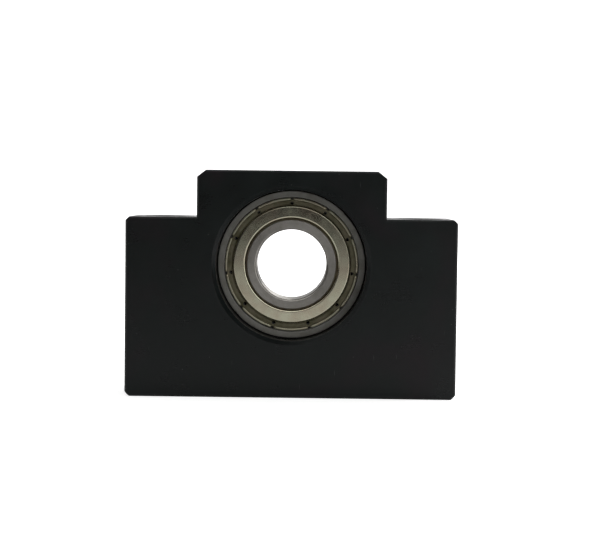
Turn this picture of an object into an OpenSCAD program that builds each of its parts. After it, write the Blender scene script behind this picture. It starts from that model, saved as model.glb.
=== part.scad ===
// Ball screw end support, supported side: a stepped steel block with a shielded deep-groove ball
// bearing in a plain bore. Millimetres. X runs across the block, Y along the screw's axis and Z up.
// The origin is the centre of the base face, and the front of the block faces -Y.

/* [Block] */
// Width of the block across the screw's axis
body_w = 70; // [68:1:100]
// Length of the block along the screw's axis
body_l = 20; // [16:0.5:40]
// Height of the boss above the base
body_h = 48; // [46:0.5:60]
// Height of the two shoulders above the base
shoulder_h = 38; // [20:0.5:45]
// Width of the boss
boss_w = 40; // [37:0.5:42]
// Width of the slope at the boss's top corners
boss_slope_w = 1.9; // [0.5:0.1:5]
// Height of the slope at the boss's top corners
boss_slope_h = 1.5; // [0.5:0.1:2.4]
// Chamfer at the outer corners of the shoulders
shoulder_chamfer = 0.8; // [0.6:0.1:1.5]
// Chamfer at the two bottom corners
base_chamfer = 1; // [0.6:0.1:4]
// Width of the small chamfer along the edges of the front and back faces
edge_break = 0.35; // [0.1:0.05:0.5]

/* [Screw holes] */
// Distance between the two screw holes
hole_pitch = 54; // [52:0.5:57]
// Diameter of the clearance hole for each screw
hole_d = 6.6; // [4.5:0.1:9]
// Diameter of the counterbore for each screw's head
counterbore_d = 11; // [10:0.5:13]
// Depth of the counterbore below the shoulder
counterbore_depth = 6.5; // [3:0.5:15]
// Width of the chamfer at the mouths of the screw holes
hole_chamfer = 0.3; // [0.1:0.05:0.5]

/* [Bearing seat] */
// Height of the bearing's axis above the base
axis_h = 28; // [20:0.5:30]
// Width of the chamfer at each mouth of the seat
seat_chamfer = 0.8; // [0.3:0.1:1.5]
// Radial gap between the outer ring and its seat
seat_gap = 0.01; // [0:0.005:0.05]

/* [Bearing rings] */
// Bore of the inner ring
bore_d = 15; // [12:0.5:17]
// Outside diameter of the outer ring
ring_od = 32; // [30:0.5:35]
// Width of both rings
ring_w = 9; // [8.5:0.5:14]
// Rounding at the bore and the outside of the rings
ring_corner = 0.5; // [0.2:0.05:0.8]
// Distance from the balls' pitch circle to the shoulder of each ring
shoulder_reach = 1.5; // [1.3:0.05:1.7]
// How far both ends of the inner ring are turned down below its shoulder
inner_step = 0.75; // [0.4:0.05:1]
// Rounding at the outer edge of the inner ring's end faces
step_corner = 0.1; // [0.05:0.05:0.3]
// Chamfer at the mouth of the outer ring
mouth_chamfer = 0.15; // [0.1:0.05:0.4]

/* [Balls] */
// Diameter of each ball
ball_d = 4.762; // [4.4:0.001:5]
// Number of balls
ball_count = 9; // [6:1:9]
// Gap between each ball and the bottom of each race
ball_play = 0.03; // [0.02:0.005:0.06]
// How much larger than the ball's the race's cross-section radius is
race_slack = 0.08; // [0.06:0.01:0.15]

/* [Cage] */
// Thickness of the cage's sheet
cage_t = 0.45; // [0.3:0.05:0.6]
// Gap between a ball and its pocket
pocket_gap = 0.12; // [0.08:0.01:0.2]
// Radial gap between the cage and the shoulder of each ring
cage_gap = 0.3; // [0.2:0.05:0.5]
// Diameter of a rivet's shank
rivet_d = 0.8; // [0.6:0.05:1]
// Diameter of a rivet's head
rivet_head_d = 1.4; // [1.2:0.05:1.6]
// Height of a rivet's head
rivet_head_h = 0.35; // [0.2:0.05:0.5]
// Radial gap between a rivet's shank and its hole
rivet_gap = 0.02; // [0.01:0.005:0.05]

/* [Shields] */
// Thickness of the shield's sheet
shield_t = 0.25; // [0.2:0.05:0.35]
// How far the shield's flat lies inside the rings' end faces
shield_depth = 0.35; // [0.1:0.05:0.5]
// How far the channel around the flat lies below it
shield_step = 0.6; // [0.5:0.05:0.8]
// Outer radius of the shield's bends
shield_bend = 0.45; // [0.4:0.05:0.5]
// Depth of the lip around the shield's hole, from the flat
shield_lip = 0.75; // [0.6:0.05:1]
// Gap between the shield's lip and the inner ring
lip_gap = 0.35; // [0.2:0.05:0.5]
// How far inside the outer ring's shoulder the shield steps down
step_inset = 0.6; // [0.5:0.05:1]
// Width of the channel between the step and the curled rim
channel_w = 1.05; // [0.85:0.05:1.1]
// How far the top of the curled rim lies inside the rings' end faces
curl_depth = 0.4; // [0.2:0.05:0.5]
// How far the shield's foot is spread under the mouth of the outer ring
foot_w = 0.2; // [0.15:0.05:0.3]
// Gap between the shield's rim and the outer ring
rim_gap = 0.1; // [0.05:0.01:0.14]
// Number of notches in the rim
notch_count = 11; // [6:1:16]
// Width of each notch
notch_w = 0.6; // [0.4:0.05:1.2]
// Height of the rim's inner fold that is left standing in each notch
notch_wall = 0.2; // [0.05:0.05:0.3]
// Diameter of the relief hole in the channel beside each notch
relief_d = 0.75; // [0.3:0.05:0.8]

/* [Hidden] */
$fn = 96;
// Extra length that carries a cut past the surface it goes through
past = 1;
// First ball at the bottom, first notch of the front shield at the top
first_ball_angle = 270;
first_notch_angle = 90;

ring_half = ring_w / 2;
bore_r = bore_d / 2;
ring_r = ring_od / 2;
ball_r = ball_d / 2;
pitch_r = (bore_r + ring_r) / 2;
ball_step = 360 / ball_count;

// Rings
inner_shoulder_r = pitch_r - shoulder_reach;
outer_shoulder_r = pitch_r + shoulder_reach;
inner_face_r = inner_shoulder_r - inner_step;
race_r = ball_r + race_slack;
inner_race_centre = pitch_r - ball_r - ball_play + race_r;
outer_race_centre = pitch_r + ball_r + ball_play - race_r;

// Shield, as distances from the bearing's axis and from its middle plane
lip_r = inner_face_r + lip_gap;
step_r = outer_shoulder_r - step_inset;
curl_in_r = step_r + channel_w;
curl_out_r = curl_in_r + 2 * shield_t;
foot_r = curl_out_r + foot_w;
flat_z = ring_half - shield_depth;
channel_z = flat_z - shield_step;
seat_z = channel_z - shield_t;
curl_z = ring_half - curl_depth - shield_t;
lip_end_z = flat_z - shield_lip;
notch_step = 360 / notch_count;

// Where the shield sits in the rings
inner_step_z = lip_end_z - lip_gap;
mouth_r = curl_out_r + rim_gap;
groove_r = foot_r + rim_gap;
groove_z = channel_z + rim_gap;

// Cage
cage_in_r = inner_shoulder_r + cage_gap;
cage_out_r = outer_shoulder_r - cage_gap;
pocket_r = ball_r + pocket_gap;
cup_r = pocket_r + cage_t;

black_oxide = [0.13, 0.14, 0.14];
ring_steel = [0.46, 0.46, 0.48];
shield_steel = [0.6, 0.58, 0.5];
ball_steel = [0.8, 0.8, 0.82];
cage_steel = [0.66, 0.63, 0.56];

// ---- Places ----

// Puts a shape that is drawn about the Z axis on the bearing's axis, its +Z side to the front
module on_axis() {
    translate([0, 0, axis_h]) rotate([90, 0, 0]) children();
}

// Angle of ball i about the bearing's axis. Its rivet follows half a step later
function ball_angle(i) = first_ball_angle + (i - 1) * ball_step;

module at_ball(i) {
    rotate(ball_angle(i)) translate([pitch_r, 0, 0]) children();
}

module at_rivet(i) {
    rotate(ball_angle(i) + ball_step / 2) translate([pitch_r, 0, 0]) children();
}

// ---- Block ----

// Rectangle that stands on the X axis, its corners cut by [width, height]
module cut_rect(w, h, top_cut, bottom_cut) {
    polygon([
        [bottom_cut[0] - w / 2, 0], [w / 2 - bottom_cut[0], 0],
        [w / 2, bottom_cut[1]], [w / 2, h - top_cut[1]],
        [w / 2 - top_cut[0], h], [top_cut[0] - w / 2, h],
        [-w / 2, h - top_cut[1]], [-w / 2, bottom_cut[1]]
    ]);
}

// Block from front to back, with a small chamfer along the edges of its front and back faces
module broken_block(w, h, top_cut, bottom_cut) {
    edge = [edge_break, edge_break];
    intersection() {
        rotate([90, 0, 0]) linear_extrude(body_l, center = true) cut_rect(w, h, top_cut, bottom_cut);
        rotate([90, 0, 90]) linear_extrude(w, center = true) cut_rect(body_l, h, edge, edge);
        linear_extrude(h) translate([0, -body_l / 2]) cut_rect(w, body_l, edge, edge);
    }
}

// Plain bore with a chamfer at both ends, about the Z axis
module chamfered_bore(r, length, chamfer) {
    cylinder(r = r, h = length + 2 * past, center = true);
    for (side = [0, 1]) mirror([0, 0, side]) {
        translate([0, 0, length / 2 - chamfer]) cylinder(r1 = r, r2 = r + chamfer + past, h = chamfer + past);
    }
}

// Screw hole with a counterbore in the shoulder
module screw_hole() {
    translate([0, 0, shoulder_h / 2]) chamfered_bore(hole_d / 2, shoulder_h, hole_chamfer);
    translate([0, 0, shoulder_h - counterbore_depth]) {
        cylinder(d = counterbore_d, h = counterbore_depth + past);
    }
    translate([0, 0, shoulder_h - hole_chamfer]) {
        cylinder(
            d1 = counterbore_d, d2 = counterbore_d + 2 * (hole_chamfer + past), h = hole_chamfer + past
        );
    }
}

module housing() {
    color(black_oxide) difference() {
        union() {
            broken_block(
                body_w, shoulder_h,
                [shoulder_chamfer, shoulder_chamfer], [base_chamfer, base_chamfer]
            );
            broken_block(boss_w, body_h, [boss_slope_w, boss_slope_h], [edge_break, edge_break]);
        }
        on_axis() chamfered_bore(ring_r + seat_gap, body_l, seat_chamfer);
        for (side = [-1, 1]) translate([side * hole_pitch / 2, 0, 0]) screw_hole();
    }
}

// ---- Bearing rings ----

// Cross-section of a ring from r0 to r1, with its four corners rounded
module ring_section(r0, r1, corner) {
    translate([r0 + corner, -ring_half]) square([r1 - r0 - 2 * corner, ring_w]);
    translate([r0, corner - ring_half]) square([r1 - r0, ring_w - 2 * corner]);
    for (r = [r0 + corner, r1 - corner], z = [corner - ring_half, ring_half - corner]) {
        translate([r, z]) circle(corner);
    }
}

module outer_ring() {
    color(ring_steel) on_axis() rotate_extrude() difference() {
        ring_section(outer_shoulder_r, ring_r, ring_corner);
        translate([outer_race_centre, 0]) circle(race_r);
        for (side = [0, 1]) mirror([0, side]) shield_recess();
    }
}

// Seat, groove and mouth for one shield, cut into the outer ring's cross-section
module shield_recess() {
    depth = ring_half - seat_z + past;
    translate([outer_shoulder_r - past, seat_z]) square([mouth_r - outer_shoulder_r + past, depth]);
    translate([outer_shoulder_r, seat_z]) square([groove_r - outer_shoulder_r, groove_z - seat_z]);
    translate([mouth_r, ring_half - mouth_chamfer]) polygon([
        [-past, 0], [0, 0], [mouth_chamfer + past, mouth_chamfer + past], [-past, mouth_chamfer + past]
    ]);
}

module inner_ring() {
    middle = (bore_r + inner_face_r) / 2;
    color(ring_steel) on_axis() rotate_extrude() difference() {
        union() {
            intersection() {
                ring_section(bore_r, inner_shoulder_r + ring_corner, ring_corner);
                translate([0, -ring_half]) square([middle, ring_w]);
            }
            intersection() {
                ring_section(bore_r, inner_face_r, step_corner);
                translate([middle, -ring_half]) square([inner_face_r, ring_w]);
            }
            translate([middle, -inner_step_z]) square([inner_shoulder_r - middle, 2 * inner_step_z]);
        }
        translate([inner_race_centre, 0]) circle(race_r);
    }
}

// ---- Balls ----

module ball(i) {
    color(ball_steel) on_axis() at_ball(i) sphere(ball_r);
}

// ---- Cage ----

// Half of the riveted ribbon cage, on the front side: flat lands with a cup around each ball
module cage_half() {
    color(cage_steel) difference() {
        intersection() {
            union() {
                cylinder(r = cage_out_r + past, h = cage_t);
                for (i = [1:ball_count]) at_ball(i) sphere(cup_r);
            }
            difference() {
                cylinder(r = cage_out_r, h = cup_r + past);
                translate([0, 0, -past]) cylinder(r = cage_in_r, h = cup_r + 3 * past);
            }
        }
        for (i = [1:ball_count]) at_ball(i) sphere(pocket_r);
        for (i = [1:ball_count]) at_rivet(i) {
            cylinder(r = rivet_d / 2 + rivet_gap, h = 2 * (cage_t + past), center = true);
        }
    }
}

module front_cage() {
    on_axis() cage_half();
}

module back_cage() {
    on_axis() mirror([0, 0, 1]) cage_half();
}

// Domed rivet through the two lands between a pair of balls
module rivet(i) {
    head_r = rivet_head_d / 2;
    dome_r = (head_r * head_r + rivet_head_h * rivet_head_h) / (2 * rivet_head_h);
    color(cage_steel) on_axis() at_rivet(i) {
        cylinder(d = rivet_d, h = 2 * cage_t + rivet_head_h, center = true);
        for (side = [0, 1]) mirror([0, 0, side]) rotate_extrude() intersection() {
            translate([0, cage_t + rivet_head_h - dome_r]) circle(dome_r);
            translate([0, cage_t]) square([head_r, rivet_head_h]);
        }
    }
}

// ---- Shields ----

// Quarter of a bent sheet's cross-section, from the outer radius inwards
module bend() {
    intersection() {
        difference() {
            circle(shield_bend);
            circle(shield_bend - shield_t);
        }
        square(shield_bend);
    }
}

// Cross-section of a pressed shield: lip, flat, step, channel, and a rim that is folded on itself
module shield_section() {
    flat_in_r = lip_r + shield_bend;
    flat_out_r = step_r - shield_bend;
    bend_z = flat_z - shield_bend;
    translate([lip_r, lip_end_z]) square([shield_t, bend_z - lip_end_z]);
    translate([flat_in_r, bend_z]) mirror([1, 0]) bend();
    translate([flat_in_r, flat_z - shield_t]) square([flat_out_r - flat_in_r, shield_t]);
    translate([flat_out_r, bend_z]) bend();
    translate([step_r - shield_t, seat_z]) square([shield_t, bend_z - seat_z]);
    translate([step_r - shield_t, seat_z]) square([foot_r - step_r + shield_t, shield_t]);
    translate([curl_in_r, seat_z]) square([2 * shield_t, curl_z - seat_z]);
    translate([curl_in_r + shield_t, curl_z]) circle(shield_t);
}

// Cut for one notch: through the rim's outer fold, down most of its inner fold, and the relief hole
module notch() {
    channel_mid_r = step_r + channel_w / 2;
    outer_fold_r = curl_in_r + shield_t;
    cut_h = ring_half - seat_z + 2 * past;
    translate([outer_fold_r, -notch_w / 2, seat_z - past]) {
        cube([foot_r - outer_fold_r + past, notch_w, cut_h]);
    }
    translate([channel_mid_r, -notch_w / 2, channel_z + notch_wall]) {
        cube([foot_r - channel_mid_r + past, notch_w, cut_h]);
    }
    translate([channel_mid_r, 0, seat_z - past]) cylinder(d = relief_d, h = cut_h);
}

module shield(first_notch) {
    color(shield_steel) difference() {
        rotate_extrude() shield_section();
        for (i = [1:notch_count]) rotate(first_notch + (i - 1) * notch_step) notch();
    }
}

module front_shield() {
    on_axis() shield(first_notch_angle);
}

// The back shield's notches stand half a step on from the front one's
module back_shield() {
    on_axis() mirror([0, 0, 1]) shield(first_notch_angle + notch_step / 2);
}

housing();
outer_ring();
inner_ring();
front_shield();
back_shield();
front_cage();
back_cage();
for (i = [1:ball_count]) {
    ball(i);
    rivet(i);
}
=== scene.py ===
import bpy, math
from mathutils import Vector, Matrix


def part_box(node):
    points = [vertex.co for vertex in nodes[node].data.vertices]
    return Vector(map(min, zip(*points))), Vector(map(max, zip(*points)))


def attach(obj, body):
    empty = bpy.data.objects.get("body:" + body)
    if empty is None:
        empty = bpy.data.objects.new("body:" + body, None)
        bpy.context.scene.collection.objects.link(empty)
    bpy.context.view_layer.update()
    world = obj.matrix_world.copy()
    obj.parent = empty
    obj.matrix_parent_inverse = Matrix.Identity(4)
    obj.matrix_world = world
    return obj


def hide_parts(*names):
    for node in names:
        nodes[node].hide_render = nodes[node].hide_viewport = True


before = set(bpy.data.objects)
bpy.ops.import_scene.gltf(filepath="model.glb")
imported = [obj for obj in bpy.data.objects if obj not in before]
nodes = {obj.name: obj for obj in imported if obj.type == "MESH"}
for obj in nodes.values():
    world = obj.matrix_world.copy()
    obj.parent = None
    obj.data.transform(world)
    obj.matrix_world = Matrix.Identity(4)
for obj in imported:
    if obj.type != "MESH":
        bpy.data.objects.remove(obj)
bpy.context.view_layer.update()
scene = bpy.context.scene
scene.view_settings.view_transform = "Standard"
print("frame loaded:", len(nodes), "nodes")

mm = 0.001
quarterTurn = math.pi / 2
ringLow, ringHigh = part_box("outer_ring")
bearingCentre = (ringLow + ringHigh) / 2
white = (1, 1, 1, 1)
noiseLow, noiseHigh = 0.3, 0.7  # most values of a noise pattern lie between these


# helpers: colours, nodes and materials

def linearColour(hexText):
    channels = [int(hexText[i:i + 2], 16) / 255 for i in (1, 3, 5)]
    return tuple(c / 12.92 if c <= 0.04045 else ((c + 0.055) / 1.055) ** 2.4 for c in channels) + (1.0,)


def addNode(tree, kind, inputs=None, **settings):
    node = tree.nodes.new(kind)
    for name, value in settings.items():
        setattr(node, name, value)
    for key, value in (inputs or {}).items():
        if isinstance(value, bpy.types.NodeSocket):
            tree.links.new(value, node.inputs[key])
        else:
            node.inputs[key].default_value = value
    return node


def newMaterial(name):
    material = bpy.data.materials.new(name)
    material.use_nodes = True
    material.node_tree.nodes.clear()
    return material, material.node_tree


# camera: a long lens just below the top of the boss, almost square to the front face

camera = {
    "spot": Vector((0.003605, -0.34, 0.04484)), "turn": 0.0053, "tilt": -0.05164, "roll": 0.01235,
    "lens": 94.25, "sensor": 36.0, "near": 0.01, "far": 20.0,
}


def buildCamera(c):
    data = bpy.data.cameras.new("camera")
    data.lens, data.sensor_width = c["lens"], c["sensor"]
    data.clip_start, data.clip_end = c["near"], c["far"]
    turn, tilt, roll = c["turn"], c["tilt"], c["roll"]
    ahead = Vector((-math.sin(turn) * math.cos(tilt), math.cos(turn) * math.cos(tilt), math.sin(tilt)))
    level = Vector((math.cos(turn), math.sin(turn), 0))
    up = level.cross(ahead)
    side = math.cos(roll) * level + math.sin(roll) * up
    top = math.cos(roll) * up - math.sin(roll) * level
    obj = bpy.data.objects.new("camera", data)
    obj.matrix_world = Matrix.Translation(c["spot"]) @ Matrix((side, top, -ahead)).transposed().to_4x4()
    scene.collection.objects.link(obj)
    scene.camera = obj


buildCamera(camera)


# studio: a white paper sweep under a large soft light from behind on the right, in a dim room seen in metal

def addPlainMesh(name, verts, faces, material, smooth=False):
    mesh = bpy.data.meshes.new(name)
    mesh.from_pydata(verts, [], faces)
    mesh.polygons.foreach_set("use_smooth", [smooth] * len(faces))
    mesh.materials.append(material)
    obj = bpy.data.objects.new(name, mesh)
    scene.collection.objects.link(obj)
    return obj


# 1 for the rays that show a background: straight from the camera, mirrored, or through glass
def seenDirectly(tree):
    path = addNode(tree, "ShaderNodeLightPath").outputs
    seen = addNode(tree, "ShaderNodeMath", {
        0: path["Is Camera Ray"], 1: path["Is Glossy Ray"]}, operation="MAXIMUM")
    seen = addNode(tree, "ShaderNodeMath", {
        0: seen.outputs[0], 1: path["Is Transmission Ray"]}, operation="MAXIMUM")
    return seen.outputs[0]


# the paper's own white grows away from the object, where less lamplight falls on it
sweep = {
    "side": 1.6, "front": -0.62, "back": 0.9, "radius": 0.4, "steps": 16, "top": 1.4, "paper": "#e6e6e6",
    "nearEdge": 0.1, "farEdge": 0.5, "nearGlow": 0.74, "farGlow": 1.0,
    "backFrom": -0.1, "backTo": 0.05, "backGlow": 0.4, "rightFrom": 0.035, "rightTo": 0.07, "rightGlow": 0.4,
}


def buildSweep(s):
    outline = [(s["front"], 0.0), (s["back"], 0.0)]
    for i in range(1, s["steps"] + 1):
        a = quarterTurn * i / s["steps"]
        outline.append((s["back"] + s["radius"] * math.sin(a), s["radius"] * (1 - math.cos(a))))
    outline.append((outline[-1][0], s["top"]))
    verts = [(x, y, z) for y, z in outline for x in (-s["side"], s["side"])]
    faces = [(2 * i, 2 * i + 1, 2 * i + 3, 2 * i + 2) for i in range(len(outline) - 1)]
    material, tree = newMaterial("whitePaper")
    place = addNode(tree, "ShaderNodeTexCoord").outputs["Object"]
    away = addNode(tree, "ShaderNodeVectorMath", {0: place}, operation="LENGTH").outputs["Value"]
    level = addNode(tree, "ShaderNodeMapRange", {
        0: away, 1: s["nearEdge"], 2: s["farEdge"], 3: s["nearGlow"], 4: s["farGlow"],
    }, interpolation_type="SMOOTHSTEP")

    # metal mirrors it only behind the object and on the right
    place = addNode(tree, "ShaderNodeSeparateXYZ", {0: place}).outputs
    behind = addNode(tree, "ShaderNodeMapRange", {
        0: place["Y"], 1: s["backFrom"], 2: s["backTo"], 4: s["backGlow"]})
    toRight = addNode(tree, "ShaderNodeMapRange", {
        0: place["X"], 1: s["rightFrom"], 2: s["rightTo"], 4: s["rightGlow"]})
    shown = addNode(tree, "ShaderNodeMath", {
        0: behind.outputs[0], 1: toRight.outputs[0]}, operation="MAXIMUM")
    mirrored = addNode(tree, "ShaderNodeMath", {
        0: seenDirectly(tree), 1: shown.outputs[0]}, operation="MULTIPLY")
    path = addNode(tree, "ShaderNodeLightPath").outputs
    glow = addNode(tree, "ShaderNodeMix", {
        0: path["Is Camera Ray"], 2: mirrored.outputs[0], 3: level.outputs[0]})
    paper = addNode(tree, "ShaderNodeBsdfDiffuse", {"Color": linearColour(s["paper"])})
    light = addNode(tree, "ShaderNodeEmission", {"Color": white, "Strength": glow.outputs[0]})
    both = addNode(tree, "ShaderNodeAddShader", {0: paper.outputs[0], 1: light.outputs[0]})
    addNode(tree, "ShaderNodeOutputMaterial", {"Surface": both.outputs[0]})
    addPlainMesh("paperSweep", verts, faces, material, smooth=True)


# a room that only shows in what mirrors it: dim, with a broad pale glow high on the front right and a weak
# one above on the left
room = {
    "side": 1.6, "front": -0.62, "back": 0.1, "top": 1.2, "dim": 0.05,
    "glowWay": (0.6, 0, 0.8), "glowFrom": -0.1, "glowTo": 0.6, "glow": 2.1,
    "aheadRise": (0.25, 0.6), "aheadFall": (0.96, 0.76),
    "leftWay": (-0.7, 0, 0.7), "leftFrom": 0.55, "leftTo": 0.95, "leftGlow": 0.6,
}


def buildRoom(r):
    widths, depths, heights = (-r["side"], r["side"]), (r["front"], r["back"]), (0, r["top"])
    verts = [(x, y, z) for x in widths for y in depths for z in heights]
    faces = [(0, 1, 5, 4), (1, 3, 7, 5), (0, 2, 3, 1), (4, 5, 7, 6)]  # front, ceiling, left and right
    material, tree = newMaterial("dimRoom")
    place = addNode(tree, "ShaderNodeTexCoord").outputs["Object"]
    way = addNode(tree, "ShaderNodeVectorMath", {0: place}, operation="NORMALIZE").outputs[0]
    along = addNode(tree, "ShaderNodeVectorMath", {0: way, 1: r["glowWay"]}, operation="DOT_PRODUCT")
    glow = addNode(tree, "ShaderNodeMapRange", {
        0: along.outputs["Value"], 1: r["glowFrom"], 2: r["glowTo"], 4: r["glow"],
    }, interpolation_type="SMOOTHSTEP")

    # none of it straight ahead or at right angles, so a flat front stays dark
    ahead = addNode(tree, "ShaderNodeVectorMath", {0: way, 1: (0, -1, 0)}, operation="DOT_PRODUCT")
    for start, end in (r["aheadRise"], r["aheadFall"]):
        share = addNode(tree, "ShaderNodeMapRange", {
            0: ahead.outputs["Value"], 1: start, 2: end}, interpolation_type="SMOOTHSTEP")
        glow = addNode(tree, "ShaderNodeMath", {
            0: glow.outputs[0], 1: share.outputs[0]}, operation="MULTIPLY")

    # only slopes see the weak one
    along = addNode(tree, "ShaderNodeVectorMath", {0: way, 1: r["leftWay"]}, operation="DOT_PRODUCT")
    weak = addNode(tree, "ShaderNodeMapRange", {
        0: along.outputs["Value"], 1: r["leftFrom"], 2: r["leftTo"], 3: r["dim"], 4: r["leftGlow"],
    }, interpolation_type="SMOOTHSTEP")
    glow = addNode(tree, "ShaderNodeMath", {0: glow.outputs[0], 1: weak.outputs[0]}, operation="ADD")
    light = addNode(tree, "ShaderNodeEmission", {"Color": white, "Strength": glow.outputs[0]})
    addNode(tree, "ShaderNodeOutputMaterial", {"Surface": light.outputs[0]})
    obj = addPlainMesh("dimRoom", verts, faces, material)
    obj.visible_camera = False
    obj.visible_shadow = False
    obj.visible_diffuse = False


sky = {"light": 0.45, "seen": 1.0}


def buildSky(s):
    world = bpy.data.worlds.new("sky")
    scene.world = world
    world.use_nodes = True
    tree = world.node_tree
    tree.nodes.clear()
    strength = addNode(tree, "ShaderNodeMapRange", {
        "Value": seenDirectly(tree), "To Min": s["light"], "To Max": s["seen"]})
    air = addNode(tree, "ShaderNodeBackground", {"Color": white, "Strength": strength.outputs[0]})
    addNode(tree, "ShaderNodeOutputWorld", {"Surface": air.outputs[0]})


lamp = {"spot": Vector((0.35, 0.4, 0.6)), "aim": Vector((0, -0.1, 0)), "size": 0.8, "watts": 7.0}


def buildLamp(p):
    data = bpy.data.lights.new("topSoftbox", "AREA")
    data.shape = "SQUARE"
    data.size, data.energy = p["size"], p["watts"]
    facing = (p["aim"] - p["spot"]).to_track_quat("-Z", "Y")
    obj = bpy.data.objects.new("topSoftbox", data)
    obj.matrix_world = Matrix.Translation(p["spot"]) @ facing.to_matrix().to_4x4()
    scene.collection.objects.link(obj)


buildSweep(sweep)
buildRoom(room)
buildSky(sky)
buildLamp(lamp)
print("studio built")


# shields: a pressed dish whose rim is cut into tabs, and each tab is folded back on itself. Radii, heights
# and widths are in millimetres, heights are from the bearing's middle plane, and a whole number is a count

shield = {
    "lipRadius": 9.85, "lipEnd": 3.4, "flatHeight": 4.15, "sheet": 0.25, "bend": 0.45, "innerBend": 0.15,
    "stepRadius": 12.65, "channelHeight": 3.55, "curlRadius": 13.82, "curlLean": 0.25, "curlWidth": 0.4,
    "curlTop": 4.1, "curlBend": 0.13, "footRadius": 14.4, "softEdge": 0.05, "lap": 0.1,
    "notchWidth": 0.6, "notchWall": 0.2, "firstNotch": -quarterTurn, "reliefHole": 0.75, "drillSheets": 3.0,
    "endRounding": 0.12, "endSize": 0.75, "levelFacing": 0.9999,
    "notches": 11, "turnSteps": 264, "tabSteps": 44, "bendSteps": 6, "holeSides": 20,
}

# what follows from them: each result's name, and how it comes from two others
shieldSums = {
    "channelBack": ("SUBTRACT", "channelHeight", "sheet"),
    "flatBack": ("SUBTRACT", "flatHeight", "sheet"),
    "lipBack": ("ADD", "lipRadius", "sheet"),
    "stepBack": ("SUBTRACT", "stepRadius", "sheet"),
    "curlBack": ("ADD", "curlRadius", "curlWidth"),
    "curlSum": ("ADD", "curlRadius", "curlBack"),
    "curlMiddle": ("DIVIDE", "curlSum", 2.0),
    "curlFoot": ("SUBTRACT", "curlRadius", "curlLean"),
    # the dish's own fold stands a little inside the tabs' own, and shows in the notches
    "fold": ("SUBTRACT", "curlRadius", "lap"),
    "foldTop": ("ADD", "channelHeight", "notchWall"),
    "halfCurl": ("DIVIDE", "curlWidth", 2.0),
    "foldBack": ("ADD", "fold", "halfCurl"),
    "sheetSum": ("ADD", "channelHeight", "channelBack"),
    "sheetMiddle": ("DIVIDE", "sheetSum", 2.0),
    "tabStart": ("ADD", "channelBack", "lap"),
    "tabBack": ("ADD", "curlMiddle", "lap"),
    "dishDrop": ("MULTIPLY", "channelBack", -1.0),
    "tabDrop": ("MULTIPLY", "sheetMiddle", -1.0),
    # angles of a tab and of the slot beside it, and the steps along a tab, closer near its ends
    "pitch": ("DIVIDE", 2 * math.pi, "notches"),
    "slot": ("DIVIDE", "notchWidth", "curlMiddle"),
    "halfSlot": ("DIVIDE", "slot", 2.0),
    "tabAngle": ("SUBTRACT", "pitch", "slot"),
    "halfTurn": ("MULTIPLY", "along", math.pi),
    "cosine": ("COSINE", "halfTurn", 0.0),
    "risen": ("SUBTRACT", 1.0, "cosine"),
    "eased": ("DIVIDE", "risen", 2.0),
    "easedAngle": ("MULTIPLY", "eased", "tabAngle"),
    "angle": ("ADD", "easedAngle", "halfSlot"),
    "angleCosine": ("COSINE", "angle", 0.0),
    "angleSine": ("SINE", "angle", 0.0),
    "tabX": ("MULTIPLY", "curlMiddle", "angleCosine"),
    "tabY": ("MULTIPLY", "curlMiddle", "angleSine"),
    # a tab's ends are rounded off over a short way
    "left": ("SUBTRACT", 1.0, "eased"),
    "nearer": ("MINIMUM", "eased", "left"),
    "nearerAngle": ("MULTIPLY", "nearer", "tabAngle"),
    "toEnd": ("MULTIPLY", "nearerAngle", "curlMiddle"),
    "endShare": ("DIVIDE", "toEnd", "endRounding"),
    "full": ("MINIMUM", "endShare", 1.0),
    "nose": ("SUBTRACT", 1.0, "full"),
    "noseSquare": ("MULTIPLY", "nose", "nose"),
    "roundSquare": ("SUBTRACT", 1.0, "noseSquare"),
    "roundness": ("SQRT", "roundSquare", 0.0),
    # each tab's turn round the axis, and the drill for the relief holes, midway across the channel
    "stepTurn": ("MULTIPLY", "index", "pitch"),
    "tabTurn": ("ADD", "stepTurn", "firstNotch"),
    "drillRadius": ("DIVIDE", "reliefHole", 2.0),
    "drillDepth": ("MULTIPLY", "sheet", "drillSheets"),
    "channelSum": ("ADD", "stepRadius", "curlFoot"),
    "channelMiddle": ("DIVIDE", "channelSum", 2.0),
}

# cross-sections of the sheet, one (radius, height, bend) per corner
dishCorners = (
    ("lipRadius", "lipEnd", "softEdge"), ("lipRadius", "flatHeight", "bend"),
    ("stepRadius", "flatHeight", "bend"), ("stepRadius", "channelHeight", "innerBend"),
    ("fold", "channelHeight", "innerBend"), ("fold", "foldTop", "softEdge"),
    ("foldBack", "foldTop", "softEdge"), ("foldBack", "channelBack", "innerBend"),
    ("stepBack", "channelBack", "innerBend"), ("stepBack", "flatBack", "innerBend"),
    ("lipBack", "flatBack", "innerBend"), ("lipBack", "lipEnd", "softEdge"),
)
tabCorners = (
    ("curlFoot", "tabStart", "softEdge"), ("curlRadius", "curlTop", "curlBend"),
    ("curlBack", "curlTop", "curlBend"), ("curlBack", "channelHeight", "softEdge"),
    ("footRadius", "channelHeight", "softEdge"), ("footRadius", "channelBack", "softEdge"),
    ("tabBack", "channelBack", "softEdge"),
)


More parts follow.
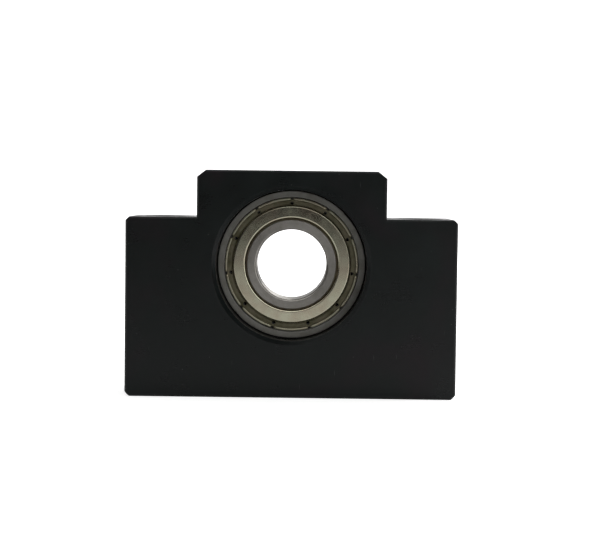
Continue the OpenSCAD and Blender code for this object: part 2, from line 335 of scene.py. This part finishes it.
# a closed curve through the corners, drawn from a middle point, with its bends rounded
def addSection(tree, sizes, corners, middle):
    index = addNode(tree, "GeometryNodeInputIndex").outputs[0]
    columns = []
    for names in zip(*corners):
        switch = addNode(tree, "GeometryNodeIndexSwitch", data_type="FLOAT")
        for i in range(len(names) - 2):
            switch.index_switch_items.new()
        tree.links.new(index, switch.inputs[0])
        for i, name in enumerate(names):
            tree.links.new(sizes[name], switch.inputs[i + 1])
        columns.append(switch.outputs[0])
    corner = addNode(tree, "ShaderNodeCombineXYZ", {0: columns[0], 1: columns[1]})
    centre = addNode(tree, "ShaderNodeCombineXYZ", {0: sizes[middle[0]], 1: sizes[middle[1]]})
    place = addNode(tree, "ShaderNodeVectorMath", {
        0: corner.outputs[0], 1: centre.outputs[0]}, operation="SUBTRACT")
    loop = addNode(tree, "GeometryNodeCurvePrimitiveCircle", {"Resolution": len(corners)})
    drawn = addNode(tree, "GeometryNodeSetPosition", {0: loop.outputs[0], "Position": place.outputs[0]})
    return addNode(tree, "GeometryNodeFilletCurve", {
        "Curve": drawn.outputs[0], "Count": sizes["bendSteps"], "Radius": columns[2], "Limit Radius": True,
    }, mode="POLY")


def buildShieldTree(s):
    tree = bpy.data.node_groups.new("pressedShield", "GeometryNodeTree")
    for name, value in s.items():
        kind = "NodeSocketInt" if isinstance(value, int) else "NodeSocketFloat"
        tree.interface.new_socket(name, in_out="INPUT", socket_type=kind)
    for name in ("place", "turn"):
        tree.interface.new_socket(name, in_out="INPUT", socket_type="NodeSocketVector")
    tree.interface.new_socket("material", in_out="INPUT", socket_type="NodeSocketMaterial")
    tree.interface.new_socket("Geometry", in_out="OUTPUT", socket_type="NodeSocketGeometry")
    given = addNode(tree, "NodeGroupInput").outputs
    sizes = {name: given[name] for name in s}
    sizes["along"] = addNode(tree, "GeometryNodeSplineParameter").outputs["Factor"]
    sizes["index"] = addNode(tree, "GeometryNodeInputIndex").outputs[0]
    for name, (operation, a, b) in shieldSums.items():
        pair = {0: sizes.get(a, a), 1: sizes.get(b, b)}
        sizes[name] = addNode(tree, "ShaderNodeMath", pair, operation=operation).outputs[0]

    # dish: lip, flat, step, channel and the foot of the rim's inner fold, turned right round
    section = addSection(tree, sizes, dishCorners, ("stepRadius", "channelBack"))
    circle = addNode(tree, "GeometryNodeCurvePrimitiveCircle", {
        "Resolution": sizes["turnSteps"], "Radius": sizes["stepRadius"]})
    path = addNode(tree, "GeometryNodeSetCurveNormal", {0: circle.outputs[0]}, mode="Z_UP")
    dish = addNode(tree, "GeometryNodeCurveToMesh", {
        "Curve": path.outputs[0], "Profile Curve": section.outputs[0]})
    drop = addNode(tree, "ShaderNodeCombineXYZ", {2: sizes["dishDrop"]})
    dish = addNode(tree, "GeometryNodeTransform", {
        "Geometry": dish.outputs[0], "Translation": drop.outputs[0]})

    # tab: the rim folded up, over and down to the foot, from slot to slot
    section = addSection(tree, sizes, tabCorners, ("curlMiddle", "sheetMiddle"))
    line = addNode(tree, "GeometryNodeMeshLine", {"Count": sizes["tabSteps"]}, mode="OFFSET")
    curve = addNode(tree, "GeometryNodeMeshToCurve", {0: line.outputs[0]})
    spot = addNode(tree, "ShaderNodeCombineXYZ", {0: sizes["tabX"], 1: sizes["tabY"]})
    arc = addNode(tree, "GeometryNodeSetPosition", {0: curve.outputs[0], "Position": spot.outputs[0]})
    path = addNode(tree, "GeometryNodeSetCurveNormal", {0: arc.outputs[0]}, mode="Z_UP")
    swell = addNode(tree, "ShaderNodeMapRange", {
        "Value": sizes["roundness"], "To Min": sizes["endSize"], "To Max": 1.0})
    tab = addNode(tree, "GeometryNodeCurveToMesh", {
        "Curve": path.outputs[0], "Profile Curve": section.outputs[0], "Scale": swell.outputs[0],
        "Fill Caps": True})
    drop = addNode(tree, "ShaderNodeCombineXYZ", {2: sizes["tabDrop"]})
    tab = addNode(tree, "GeometryNodeTransform", {
        "Geometry": tab.outputs[0], "Translation": drop.outputs[0]})

    # the same tab and relief hole at every pitch around the axis
    drill = addNode(tree, "GeometryNodeMeshCylinder", {
        "Vertices": sizes["holeSides"], "Radius": sizes["drillRadius"], "Depth": sizes["drillDepth"]})
    spot = addNode(tree, "ShaderNodeCombineXYZ", {0: sizes["channelMiddle"], 2: sizes["tabDrop"]})
    drill = addNode(tree, "GeometryNodeTransform", {
        "Geometry": drill.outputs[0], "Translation": spot.outputs[0]})
    points = addNode(tree, "GeometryNodePoints", {"Count": sizes["notches"], "Position": (0, 0, 0)})
    spin = addNode(tree, "ShaderNodeCombineXYZ", {2: sizes["tabTurn"]})
    tabs, drills = [addNode(tree, "GeometryNodeInstanceOnPoints", {
        "Points": points.outputs[0], "Instance": one.outputs[0], "Rotation": spin.outputs[0],
    }) for one in (tab, drill)]
    drills = addNode(tree, "GeometryNodeRealizeInstances", {0: drills.outputs[0]})
    drilled = addNode(tree, "GeometryNodeMeshBoolean", {
        "Mesh 1": dish.outputs[0], "Mesh 2": drills.outputs[0]}, operation="DIFFERENCE", solver="EXACT")
    joined = addNode(tree, "GeometryNodeJoinGeometry")
    for part in (drilled, tabs):
        tree.links.new(part.outputs[0], joined.inputs[0])
    placed = addNode(tree, "GeometryNodeTransform", {
        "Geometry": joined.outputs[0], "Translation": given["place"], "Rotation": given["turn"],
        "Scale": (mm, mm, mm)})
    solid = addNode(tree, "GeometryNodeRealizeInstances", {0: placed.outputs[0]})
    outward = addNode(tree, "GeometryNodeFlipFaces", {0: solid.outputs[0]})

    # what faces straight along the axis is flat, and keeps a flat shine beside its bends
    facing = addNode(tree, "GeometryNodeInputNormal").outputs[0]
    facing = addNode(tree, "ShaderNodeVectorMath", {0: facing, 1: (0, 1, 0)}, operation="DOT_PRODUCT")
    facing = addNode(tree, "ShaderNodeMath", {0: facing.outputs["Value"]}, operation="ABSOLUTE")
    level = addNode(tree, "ShaderNodeMath", {
        0: facing.outputs[0], 1: sizes["levelFacing"]}, operation="GREATER_THAN")
    shaded = addNode(tree, "GeometryNodeSetShadeSmooth", {
        0: outward.outputs[0], "Selection": level.outputs[0], "Shade Smooth": False})
    painted = addNode(tree, "GeometryNodeSetMaterial", {0: shaded.outputs[0], "Material": given["material"]})
    addNode(tree, "NodeGroupOutput", {0: painted.outputs[0]})
    return tree


def buildShield(name, tree, s, turn, firstNotch, material):
    holder = bpy.data.objects.new(name + "Rule", bpy.data.meshes.new(name + "Rule"))
    scene.collection.objects.link(holder)
    rule = holder.modifiers.new("pressedShield", "NODES")
    rule.node_group = tree
    values = dict(s, place=bearingCentre, turn=turn, firstNotch=firstNotch, material=material)
    for item in tree.interface.items_tree:
        if item.in_out == "INPUT":
            rule[item.identifier] = values[item.name]
    ready = holder.evaluated_get(bpy.context.evaluated_depsgraph_get())
    piece = bpy.data.objects.new(name, bpy.data.meshes.new_from_object(ready))
    scene.collection.objects.link(piece)
    bpy.data.objects.remove(holder)
    return piece


# places on a surface, in millimetres, for the patterns below

def placeInMm(tree):
    place = addNode(tree, "ShaderNodeTexCoord").outputs["Object"]
    return addNode(tree, "ShaderNodeVectorMath", {0: place, "Scale": 1 / mm}, operation="SCALE").outputs[0]


def fromBearing(tree, place):
    centred = addNode(tree, "ShaderNodeVectorMath", {0: place, 1: bearingCentre / mm}, operation="SUBTRACT")
    flat = addNode(tree, "ShaderNodeVectorMath", {0: centred.outputs[0], 1: (1, 0, 1)}, operation="MULTIPLY")
    return flat.outputs[0]


# rings left by turning or grinding about the bearing's axis, on faces and walls alike. Real ones are a few
# hundredths of a millimetre apart, and these are drawn as wide as they need to be to show
def ringLines(tree, place, width, detail=3.0):
    radius = addNode(tree, "ShaderNodeVectorMath", {0: fromBearing(tree, place)}, operation="LENGTH")
    radius = radius.outputs["Value"]
    depth = addNode(tree, "ShaderNodeSeparateXYZ", {0: place}).outputs["Y"]
    run = addNode(tree, "ShaderNodeMath", {0: radius, 1: depth}, operation="SUBTRACT").outputs[0]
    lines = addNode(tree, "ShaderNodeTexNoise", {
        "W": run, "Scale": 1 / width, "Detail": detail}, noise_dimensions="1D")
    return lines.outputs[0], radius


# Blackened steel: milled, ground, dipped and oiled. Near black and satin, with faint lines along the block,
# a cloudy tint, small pits and scratches, and edges where the skin has worn thin to grey. The lines and the
# grain are drawn coarser than real ones, so that they show
blackOxide = {
    "skin": "#090b0a", "cloud": "#0b1514", "stain": "#140e12", "worn": "#434443", "dust": "#3a3c3a",
    "roughness": 0.28, "roughnessSpread": 0.04, "gloss": 0.25,
    "cloudSize": 9.0, "cloudDetail": 4.0, "cloudRoughness": 0.6,
    "stainSize": 17.0, "stainDetail": 3.0, "stainDrift": 0.6, "stainFrom": 0.5, "stainTo": 0.72,
    "lineLength": 14.0, "lineWidth": 0.22, "lineDetail": 3.0, "lineRougher": 0.04, "endFacing": 0.7,
    "seatReach": 16.85, "grainSize": 0.35, "grainDetail": 2.0, "grainHeight": 0.6,
    "pitCell": 2.3, "pitRadius": 0.14, "pitFloor": 0.4,
    "scratchCell": (1.1, 5.0, 15.0), "scratchTurn": 0.12, "scratchRadius": 0.05, "scratchFloor": 0.3,
    "markHeight": -4.0, "bumpHeight": 0.0000012, "wornRougher": -0.1,
    "edgeRadius": 0.00025, "edgeSamples": 6, "edgeFrom": 0.995, "edgeTo": 0.9,
    "patchFrom": 0.85, "patchTo": 1.25,
}


def paintBlackOxide(b):
    material, tree = newMaterial("blackOxideSteel")
    place = placeInMm(tree)
    facing = addNode(tree, "ShaderNodeTexCoord").outputs["Normal"]
    facing = addNode(tree, "ShaderNodeVectorMath", {0: facing}, operation="ABSOLUTE").outputs[0]
    facing = addNode(tree, "ShaderNodeSeparateXYZ", {0: facing}).outputs

    # lines along the block, across its two ends, and round its seat
    long, thin = 1 / b["lineLength"], 1 / b["lineWidth"]
    along = addNode(tree, "ShaderNodeMapping", {0: place, "Scale": (long, thin, thin)})
    across = addNode(tree, "ShaderNodeMapping", {0: place, "Scale": (thin, long, thin)})
    longLines, endLines = [addNode(tree, "ShaderNodeTexNoise", {
        0: way.outputs[0], "Scale": 1.0, "Detail": b["lineDetail"]}) for way in (along, across)]
    atEnd = addNode(tree, "ShaderNodeMath", {0: facing["X"], 1: b["endFacing"]}, operation="GREATER_THAN")
    lines = addNode(tree, "ShaderNodeMix", {
        0: atEnd.outputs[0], 2: longLines.outputs[0], 3: endLines.outputs[0]})
    seatLines, radius = ringLines(tree, place, b["lineWidth"])
    inSeat = addNode(tree, "ShaderNodeMath", {0: radius, 1: b["seatReach"]}, operation="LESS_THAN")
    lines = addNode(tree, "ShaderNodeMix", {0: inSeat.outputs[0], 2: lines.outputs[0], 3: seatLines})

    # clouds in the tint, a brown stain here and there, and the steel's fine grain
    cloud = addNode(tree, "ShaderNodeTexNoise", {
        0: place, "Scale": 1 / b["cloudSize"], "Detail": b["cloudDetail"], "Roughness": b["cloudRoughness"]})
    stain = addNode(tree, "ShaderNodeTexNoise", {
        0: place, "Scale": 1 / b["stainSize"], "Detail": b["stainDetail"], "Distortion": b["stainDrift"]})
    stained = addNode(tree, "ShaderNodeMapRange", {0: stain.outputs[0], 1: b["stainFrom"], 2: b["stainTo"]})
    grain = addNode(tree, "ShaderNodeTexNoise", {
        0: place, "Scale": 1 / b["grainSize"], "Detail": b["grainDetail"]})
    skin = addNode(tree, "ShaderNodeMix", {
        0: cloud.outputs[0], 6: linearColour(b["skin"]), 7: linearColour(b["cloud"])}, data_type="RGBA")
    skin = addNode(tree, "ShaderNodeMix", {
        0: stained.outputs[0], 6: skin.outputs[2], 7: linearColour(b["stain"])}, data_type="RGBA")

    # pits and short scratches, each where a cell's point comes close to the surface, with dust in them
    pit = addNode(tree, "ShaderNodeTexVoronoi", {0: place, "Scale": 1 / b["pitCell"]})
    pitEdge = b["pitRadius"] / b["pitCell"]
    pit = addNode(tree, "ShaderNodeMapRange", {
        0: pit.outputs["Distance"], 1: pitEdge, 2: b["pitFloor"] * pitEdge})
    cells = addNode(tree, "ShaderNodeMapping", {
        0: place, "Rotation": (0, b["scratchTurn"], 0), "Scale": tuple(1 / c for c in b["scratchCell"])})
    scratch = addNode(tree, "ShaderNodeTexVoronoi", {0: cells.outputs[0], "Scale": 1.0})
    scratch = addNode(tree, "ShaderNodeMapRange", {
        0: scratch.outputs["Distance"], 1: b["scratchRadius"], 2: b["scratchFloor"] * b["scratchRadius"]})
    marks = addNode(tree, "ShaderNodeMath", {0: pit.outputs[0], 1: scratch.outputs[0]}, operation="MAXIMUM")
    skin = addNode(tree, "ShaderNodeMix", {
        0: marks.outputs[0], 6: skin.outputs[2], 7: linearColour(b["dust"])}, data_type="RGBA")

    # worn edges: where a rounded normal leaves the flat one, broken up by the grain
    flat = addNode(tree, "ShaderNodeNewGeometry").outputs["Normal"]
    rounded = addNode(tree, "ShaderNodeBevel", {"Radius": b["edgeRadius"]}, samples=b["edgeSamples"])
    same = addNode(tree, "ShaderNodeVectorMath", {0: flat, 1: rounded.outputs[0]}, operation="DOT_PRODUCT")
    edge = addNode(tree, "ShaderNodeMapRange", {0: same.outputs["Value"], 1: b["edgeFrom"], 2: b["edgeTo"]})
    broken = addNode(tree, "ShaderNodeMath", {0: cloud.outputs[0], 1: grain.outputs[0]}, operation="ADD")
    patchy = addNode(tree, "ShaderNodeMapRange", {0: broken.outputs[0], 1: b["patchFrom"], 2: b["patchTo"]})
    worn = addNode(tree, "ShaderNodeMath", {0: edge.outputs[0], 1: patchy.outputs[0]}, operation="MULTIPLY")
    colour = addNode(tree, "ShaderNodeMix", {
        0: worn.outputs[0], 6: skin.outputs[2], 7: linearColour(b["worn"])}, data_type="RGBA")

    # the clouds and the lines vary the satin, and worn edges are smoother
    rough = addNode(tree, "ShaderNodeMapRange", {
        0: cloud.outputs[0], 1: noiseLow, 2: noiseHigh,
        3: b["roughness"] - b["roughnessSpread"], 4: b["roughness"] + b["roughnessSpread"]})
    for pattern, rougher in ((lines, b["lineRougher"]), (worn, b["wornRougher"])):
        rough = addNode(tree, "ShaderNodeMath", {
            0: pattern.outputs[0], 1: rougher, 2: rough.outputs[0]}, operation="MULTIPLY_ADD")
    height = lines
    for pattern, factor in ((grain, b["grainHeight"]), (marks, b["markHeight"])):
        height = addNode(tree, "ShaderNodeMath", {
            0: pattern.outputs[0], 1: factor, 2: height.outputs[0]}, operation="MULTIPLY_ADD")
    bump = addNode(tree, "ShaderNodeBump", {
        "Height": height.outputs[0], "Distance": b["bumpHeight"], "Strength": 1.0})
    shader = addNode(tree, "ShaderNodeBsdfPrincipled", {
        "Base Color": colour.outputs[2], "Roughness": rough.outputs[0], "Metallic": worn.outputs[0],
        "Specular IOR Level": b["gloss"], "Normal": bump.outputs[0]})
    addNode(tree, "ShaderNodeOutputMaterial", {0: shader.outputs[0]})
    return material


# Bearing steel: hardened and ground, then only wiped. Grey with fine rings that draw the light out across
# them, faint stains, and grease in the narrow places beside the shields: brown on the inner ring, and near
# black on the outer ring, where it is painted shade in the narrow gaps around the shield's rim
ringSteel = {
    # the outer ring's near-black grease colour is painted shade in the gaps around the shield's rim
    "outerRingSteel": {"steel": "#7c7b76", "stain": "#65625a", "roughness": 0.4, "greaseAndGapShade": "#1f1b13"},
    "innerRingSteel": {"steel": "#8c8984", "stain": "#726f68", "roughness": 0.34, "greaseAndGapShade": "#857a62"},
}
ringDetail = {
    "lineWidth": 0.16, "bumpHeight": 0.0000012, "drawnOut": 0.8, "roughnessSpread": 0.04,
    "stainSize": 2.6, "stainDetail": 4.0, "stainRoughness": 0.65, "stainFrom": 0.42, "stainTo": 0.75,
    "stainMost": 0.7, "stainRougher": 0.08, "chamferFacing": 0.7, "chamferSpread": 0.2, "chamferFiner": 0.5,
    "greaseShadeDepth": 4.25, "pitchRadius": 11.75, "greaseShadeFrom": 1.4, "greaseShadeTo": 2.72,
}


def paintRingSteel(name, r, d):
    material, tree = newMaterial(name)
    place = placeInMm(tree)
    lines, radius = ringLines(tree, place, d["lineWidth"])
    stain = addNode(tree, "ShaderNodeTexNoise", {
        0: place, "Scale": 1 / d["stainSize"], "Detail": d["stainDetail"], "Roughness": d["stainRoughness"]})
    stained = addNode(tree, "ShaderNodeMapRange", {
        0: stain.outputs[0], 1: d["stainFrom"], 2: d["stainTo"], 4: d["stainMost"]})
    colour = addNode(tree, "ShaderNodeMix", {
        0: stained.outputs[0], 6: linearColour(r["steel"]), 7: linearColour(r["stain"])}, data_type="RGBA")

    # grease below the end faces, just outside the shoulder of either ring; on the outer ring its near-black
    # colour is painted shade in the narrow gaps around the shield's rim
    depth = addNode(tree, "ShaderNodeSeparateXYZ", {0: place}).outputs["Y"]
    depth = addNode(tree, "ShaderNodeMath", {0: depth}, operation="ABSOLUTE").outputs[0]
    inside = addNode(tree, "ShaderNodeMath", {0: depth, 1: d["greaseShadeDepth"]}, operation="LESS_THAN")
    fromPitch = addNode(tree, "ShaderNodeMath", {0: radius, 1: d["pitchRadius"]}, operation="SUBTRACT")
    fromPitch = addNode(tree, "ShaderNodeMath", {0: fromPitch.outputs[0]}, operation="ABSOLUTE").outputs[0]
    past = addNode(tree, "ShaderNodeMath", {0: fromPitch, 1: d["greaseShadeFrom"]}, operation="GREATER_THAN")
    near = addNode(tree, "ShaderNodeMath", {0: fromPitch, 1: d["greaseShadeTo"]}, operation="LESS_THAN")
    greaseAndShade = inside
    for share in (past, near):
        greaseAndShade = addNode(tree, "ShaderNodeMath", {
            0: greaseAndShade.outputs[0], 1: share.outputs[0]}, operation="MULTIPLY")
    colour = addNode(tree, "ShaderNodeMix", {
        0: greaseAndShade.outputs[0], 6: colour.outputs[2], 7: linearColour(r["greaseAndGapShade"])}, data_type="RGBA")
    bare = addNode(tree, "ShaderNodeMath", {0: 1.0, 1: greaseAndShade.outputs[0]}, operation="SUBTRACT")

    # stains are rougher, and the chamfers are turned finer than the faces are ground
    rough = addNode(tree, "ShaderNodeMapRange", {
        0: lines, 1: noiseLow, 2: noiseHigh,
        3: r["roughness"] - d["roughnessSpread"], 4: r["roughness"] + d["roughnessSpread"]})
    rough = addNode(tree, "ShaderNodeMath", {
        0: stained.outputs[0], 1: d["stainRougher"], 2: rough.outputs[0]}, operation="MULTIPLY_ADD")
    facing = addNode(tree, "ShaderNodeTexCoord").outputs["Normal"]
    facing = addNode(tree, "ShaderNodeSeparateXYZ", {0: facing}).outputs["Y"]
    facing = addNode(tree, "ShaderNodeMath", {0: facing}, operation="ABSOLUTE")
    slant = addNode(tree, "ShaderNodeMath", {
        0: facing.outputs[0], 1: d["chamferFacing"], 2: d["chamferSpread"]}, operation="COMPARE")
    finer = addNode(tree, "ShaderNodeMapRange", {0: slant.outputs[0], 3: 1.0, 4: d["chamferFiner"]})
    rough = addNode(tree, "ShaderNodeMath", {0: rough.outputs[0], 1: finer.outputs[0]}, operation="MULTIPLY")
    bump = addNode(tree, "ShaderNodeBump", {"Height": lines, "Distance": d["bumpHeight"], "Strength": 1.0})

    # the lines run round the axis, and the gloss is drawn out across them
    outward = fromBearing(tree, place)
    onward = addNode(tree, "ShaderNodeVectorMath", {0: (0, 1, 0), 1: outward}, operation="CROSS_PRODUCT")
    onward = addNode(tree, "ShaderNodeVectorTransform", {
        0: onward.outputs[0]}, convert_from="OBJECT", convert_to="WORLD")
    normal = addNode(tree, "ShaderNodeNewGeometry").outputs["Normal"]
    tangent = addNode(tree, "ShaderNodeVectorMath", {
        0: onward.outputs[0], 1: normal}, operation="CROSS_PRODUCT")
    tangent = addNode(tree, "ShaderNodeVectorMath", {0: tangent.outputs[0]}, operation="NORMALIZE")
    shader = addNode(tree, "ShaderNodeBsdfPrincipled", {
        "Base Color": colour.outputs[2], "Metallic": bare.outputs[0], "Roughness": rough.outputs[0],
        "Normal": bump.outputs[0], "Anisotropic": d["drawnOut"], "Tangent": tangent.outputs[0]})
    addNode(tree, "ShaderNodeOutputMaterial", {0: shader.outputs[0]})
    return material


# Cold-rolled steel sheet, pressed and left oily: a yellowish grey shine that wanders between olive and brown,
# fine specks, smears of oil that dull it, and a dark olive colour in the channel behind the tabs, which is
# partly oily dirt and partly painted shade, deepest in the channel's corners. The specks are drawn larger
# than real ones, so that they show
shieldSheet = {
    # the channel's dark olive is partly oily dirt and partly painted shade
    "olive": "#b9b8a2", "brown": "#ada28f", "dirtAndShade": "#343012", "speck": "#6f6a58",
    "tintSize": 3.4, "tintDetail": 4.0, "tintRoughness": 0.6, "tintFrom": 0.35, "tintTo": 0.68,
    "speckCell": 0.55, "speckRadius": 0.05, "speckFloor": 0.5, "speckMost": 0.6,
    "roughness": 0.1, "rollWidth": 0.14, "rollRougher": 0.04, "bumpHeight": 0.0000008,
    "smearSize": 2.2, "smearDetail": 3.0, "smearDrift": 0.8, "smearFrom": 0.35, "smearTo": 0.75,
    "smearRougher": 0.05, "flatRadius": 11.4, "flatHalfWidth": 1.15, "flatFade": 0.2, "bentRougher": 0.05,
    "dirtShadeStart": 12.55, "dirtShadeFull": 12.75, "dirtShadeEnd": 14.5, "dirtShadeHeight": 4.05, "dirtShadeFade": 0.15,
    "lighterMiddleRadius": 13.1, "lighterMiddleWidth": 0.3, "middleShadeShare": 0.95, "thinFrom": 0.3, "thinTo": 0.6, "thinner": 0.8,
    "dirtShadeRoughness": 0.5, "dirtShadeMetal": 0.6,
}


def paintShieldSheet(s):
    material, tree = newMaterial("pressedSheetSteel")
    place = placeInMm(tree)
    rings, radius = ringLines(tree, place, s["rollWidth"])
    tint = addNode(tree, "ShaderNodeTexNoise", {
        0: place, "Scale": 1 / s["tintSize"], "Detail": s["tintDetail"], "Roughness": s["tintRoughness"]})
    tinted = addNode(tree, "ShaderNodeMapRange", {0: tint.outputs[0], 1: s["tintFrom"], 2: s["tintTo"]})
    colour = addNode(tree, "ShaderNodeMix", {
        0: tinted.outputs[0], 6: linearColour(s["olive"]), 7: linearColour(s["brown"])}, data_type="RGBA")
    speck = addNode(tree, "ShaderNodeTexVoronoi", {0: place, "Scale": 1 / s["speckCell"]})
    speckEdge = s["speckRadius"] / s["speckCell"]
    speck = addNode(tree, "ShaderNodeMapRange", {
        0: speck.outputs["Distance"], 1: speckEdge, 2: s["speckFloor"] * speckEdge, 4: s["speckMost"]})
    colour = addNode(tree, "ShaderNodeMix", {
        0: speck.outputs[0], 6: colour.outputs[2], 7: linearColour(s["speck"])}, data_type="RGBA")

    # oily dirt and painted shade between the step and the curl, below the flat on either side of the
    # bearing: a little less of it along the middle of the channel than in its corners, where the painted
    # shade is deepest, and thinner in places
    depth = addNode(tree, "ShaderNodeSeparateXYZ", {0: place}).outputs["Y"]
    depth = addNode(tree, "ShaderNodeMath", {0: depth}, operation="ABSOLUTE").outputs[0]
    middle = addNode(tree, "ShaderNodeMath", {0: radius, 1: s["lighterMiddleRadius"]}, operation="SUBTRACT")
    middle = addNode(tree, "ShaderNodeMath", {0: middle.outputs[0]}, operation="ABSOLUTE").outputs[0]
    dirtAndShadeMask = addNode(tree, "ShaderNodeMapRange", {0: radius, 1: s["dirtShadeStart"], 2: s["dirtShadeFull"]})
    for value, start, end, least, most in (
            (radius, s["dirtShadeEnd"], s["dirtShadeEnd"] - s["dirtShadeFade"], 0.0, 1.0),
            (depth, s["dirtShadeHeight"] + s["dirtShadeFade"], s["dirtShadeHeight"] - s["dirtShadeFade"], 0.0, 1.0),
            (middle, 0.0, s["lighterMiddleWidth"], s["middleShadeShare"], 1.0),
            (tint.outputs[0], s["thinFrom"], s["thinTo"], 1.0, s["thinner"])):
        share = addNode(tree, "ShaderNodeMapRange", {0: value, 1: start, 2: end, 3: least, 4: most})
        dirtAndShadeMask = addNode(tree, "ShaderNodeMath", {
            0: dirtAndShadeMask.outputs[0], 1: share.outputs[0]}, operation="MULTIPLY")
    dirtAndShadeMask = dirtAndShadeMask.outputs[0]
    # painted shade and oily dirt darken the channel
    colour = addNode(tree, "ShaderNodeMix", {
        0: dirtAndShadeMask, 6: colour.outputs[2], 7: linearColour(s["dirtAndShade"])}, data_type="RGBA")

    # smears, rolling marks and bends are duller than the plain flat; the channel's dirt and shade are dullest
    smear = addNode(tree, "ShaderNodeTexNoise", {
        0: place, "Scale": 1 / s["smearSize"], "Detail": s["smearDetail"], "Distortion": s["smearDrift"]})
    rough = addNode(tree, "ShaderNodeMapRange", {
        0: smear.outputs[0], 1: s["smearFrom"], 2: s["smearTo"],
        3: s["roughness"], 4: s["roughness"] + s["smearRougher"]})
    rough = addNode(tree, "ShaderNodeMath", {
        0: rings, 1: s["rollRougher"], 2: rough.outputs[0]}, operation="MULTIPLY_ADD")
    bent = addNode(tree, "ShaderNodeMath", {0: radius, 1: s["flatRadius"]}, operation="SUBTRACT")
    bent = addNode(tree, "ShaderNodeMath", {0: bent.outputs[0]}, operation="ABSOLUTE")
    bent = addNode(tree, "ShaderNodeMapRange", {
        0: bent.outputs[0], 1: s["flatHalfWidth"], 2: s["flatHalfWidth"] + s["flatFade"],
        3: 0.0, 4: s["bentRougher"]})
    rough = addNode(tree, "ShaderNodeMath", {0: rough.outputs[0], 1: bent.outputs[0]}, operation="ADD")
    rough = addNode(tree, "ShaderNodeMix", {0: dirtAndShadeMask, 2: rough.outputs[0], 3: s["dirtShadeRoughness"]})
    bare = addNode(tree, "ShaderNodeMapRange", {0: dirtAndShadeMask, 3: 1.0, 4: s["dirtShadeMetal"]})
    bump = addNode(tree, "ShaderNodeBump", {"Height": rings, "Distance": s["bumpHeight"], "Strength": 1.0})
    shader = addNode(tree, "ShaderNodeBsdfPrincipled", {
        "Base Color": colour.outputs[2], "Metallic": bare.outputs[0], "Roughness": rough.outputs[0],
        "Normal": bump.outputs[0]})
    addNode(tree, "ShaderNodeOutputMaterial", {0: shader.outputs[0]})
    return material


# Plain metal seen only through the gap beside a shield: strip steel of the cage and its rivets, satin with
# rolling marks, and balls lapped to a mirror that carries a faint haze
innerParts = {
    "pressedStripSteel": {
        "colour": "#b7b1a4", "shade": "#8f897d", "shadeFrom": 0.35, "shadeTo": 0.7, "size": 0.5,
        "detail": 4.0, "roughness": 0.3, "spread": 0.12, "bump": 0.000002},
    "lappedBallSteel": {
        "colour": "#cfd0d2", "shade": "#c2c3c5", "shadeFrom": 0.35, "shadeTo": 0.7, "size": 0.8,
        "detail": 4.0, "roughness": 0.05, "spread": 0.05, "bump": 0.0000001},
}


def paintInnerPart(name, p):
    material, tree = newMaterial(name)
    place = placeInMm(tree)
    haze = addNode(tree, "ShaderNodeTexNoise", {0: place, "Scale": 1 / p["size"], "Detail": p["detail"]})
    mask = addNode(tree, "ShaderNodeMapRange", {0: haze.outputs[0], 1: p["shadeFrom"], 2: p["shadeTo"]})
    colour = addNode(tree, "ShaderNodeMix", {
        0: mask.outputs[0], 6: linearColour(p["colour"]), 7: linearColour(p["shade"])}, data_type="RGBA")
    rough = addNode(tree, "ShaderNodeMapRange", {
        0: haze.outputs[0], 1: noiseLow, 2: noiseHigh, 3: p["roughness"], 4: p["roughness"] + p["spread"]})
    bump = addNode(tree, "ShaderNodeBump", {
        "Height": haze.outputs[0], "Distance": p["bump"], "Strength": 1.0})
    shader = addNode(tree, "ShaderNodeBsdfPrincipled", {
        "Base Color": colour.outputs[2], "Metallic": 1.0, "Roughness": rough.outputs[0],
        "Normal": bump.outputs[0]})
    addNode(tree, "ShaderNodeOutputMaterial", {0: shader.outputs[0]})
    return material


housingFinish = paintBlackOxide(blackOxide)
outerFinish, innerFinish = [paintRingSteel(name, ringSteel[name], ringDetail) for name in ringSteel]
shieldFinish = paintShieldSheet(shieldSheet)
stripFinish, ballFinish = [paintInnerPart(name, innerParts[name]) for name in innerParts]
finishes = {
    "housing": housingFinish, "outer_ring": outerFinish, "inner_ring": innerFinish,
    "front_shield": shieldFinish, "back_shield": shieldFinish,
}
for name, obj in nodes.items():
    plain = ballFinish if name.startswith("ball_") else stripFinish  # strip steel: the cage and its rivets
    obj.data.materials.clear()
    obj.data.materials.append(finishes.get(name, plain))
print("finishes painted")


# the back shield's notches stand half a pitch on from the front one's
shieldTree = buildShieldTree(shield)
halfPitch = math.pi / shield["notches"]
for name, node, turn, firstNotch in (
        ("frontShield", "front_shield", 0.0, shield["firstNotch"]),
        ("backShield", "back_shield", math.pi, shield["firstNotch"] + halfPitch)):
    piece = buildShield(name, shieldTree, shield, (-quarterTurn, 0, turn), firstNotch, shieldFinish)
    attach(piece, "support")
    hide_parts(node)
print("pressed shields built")
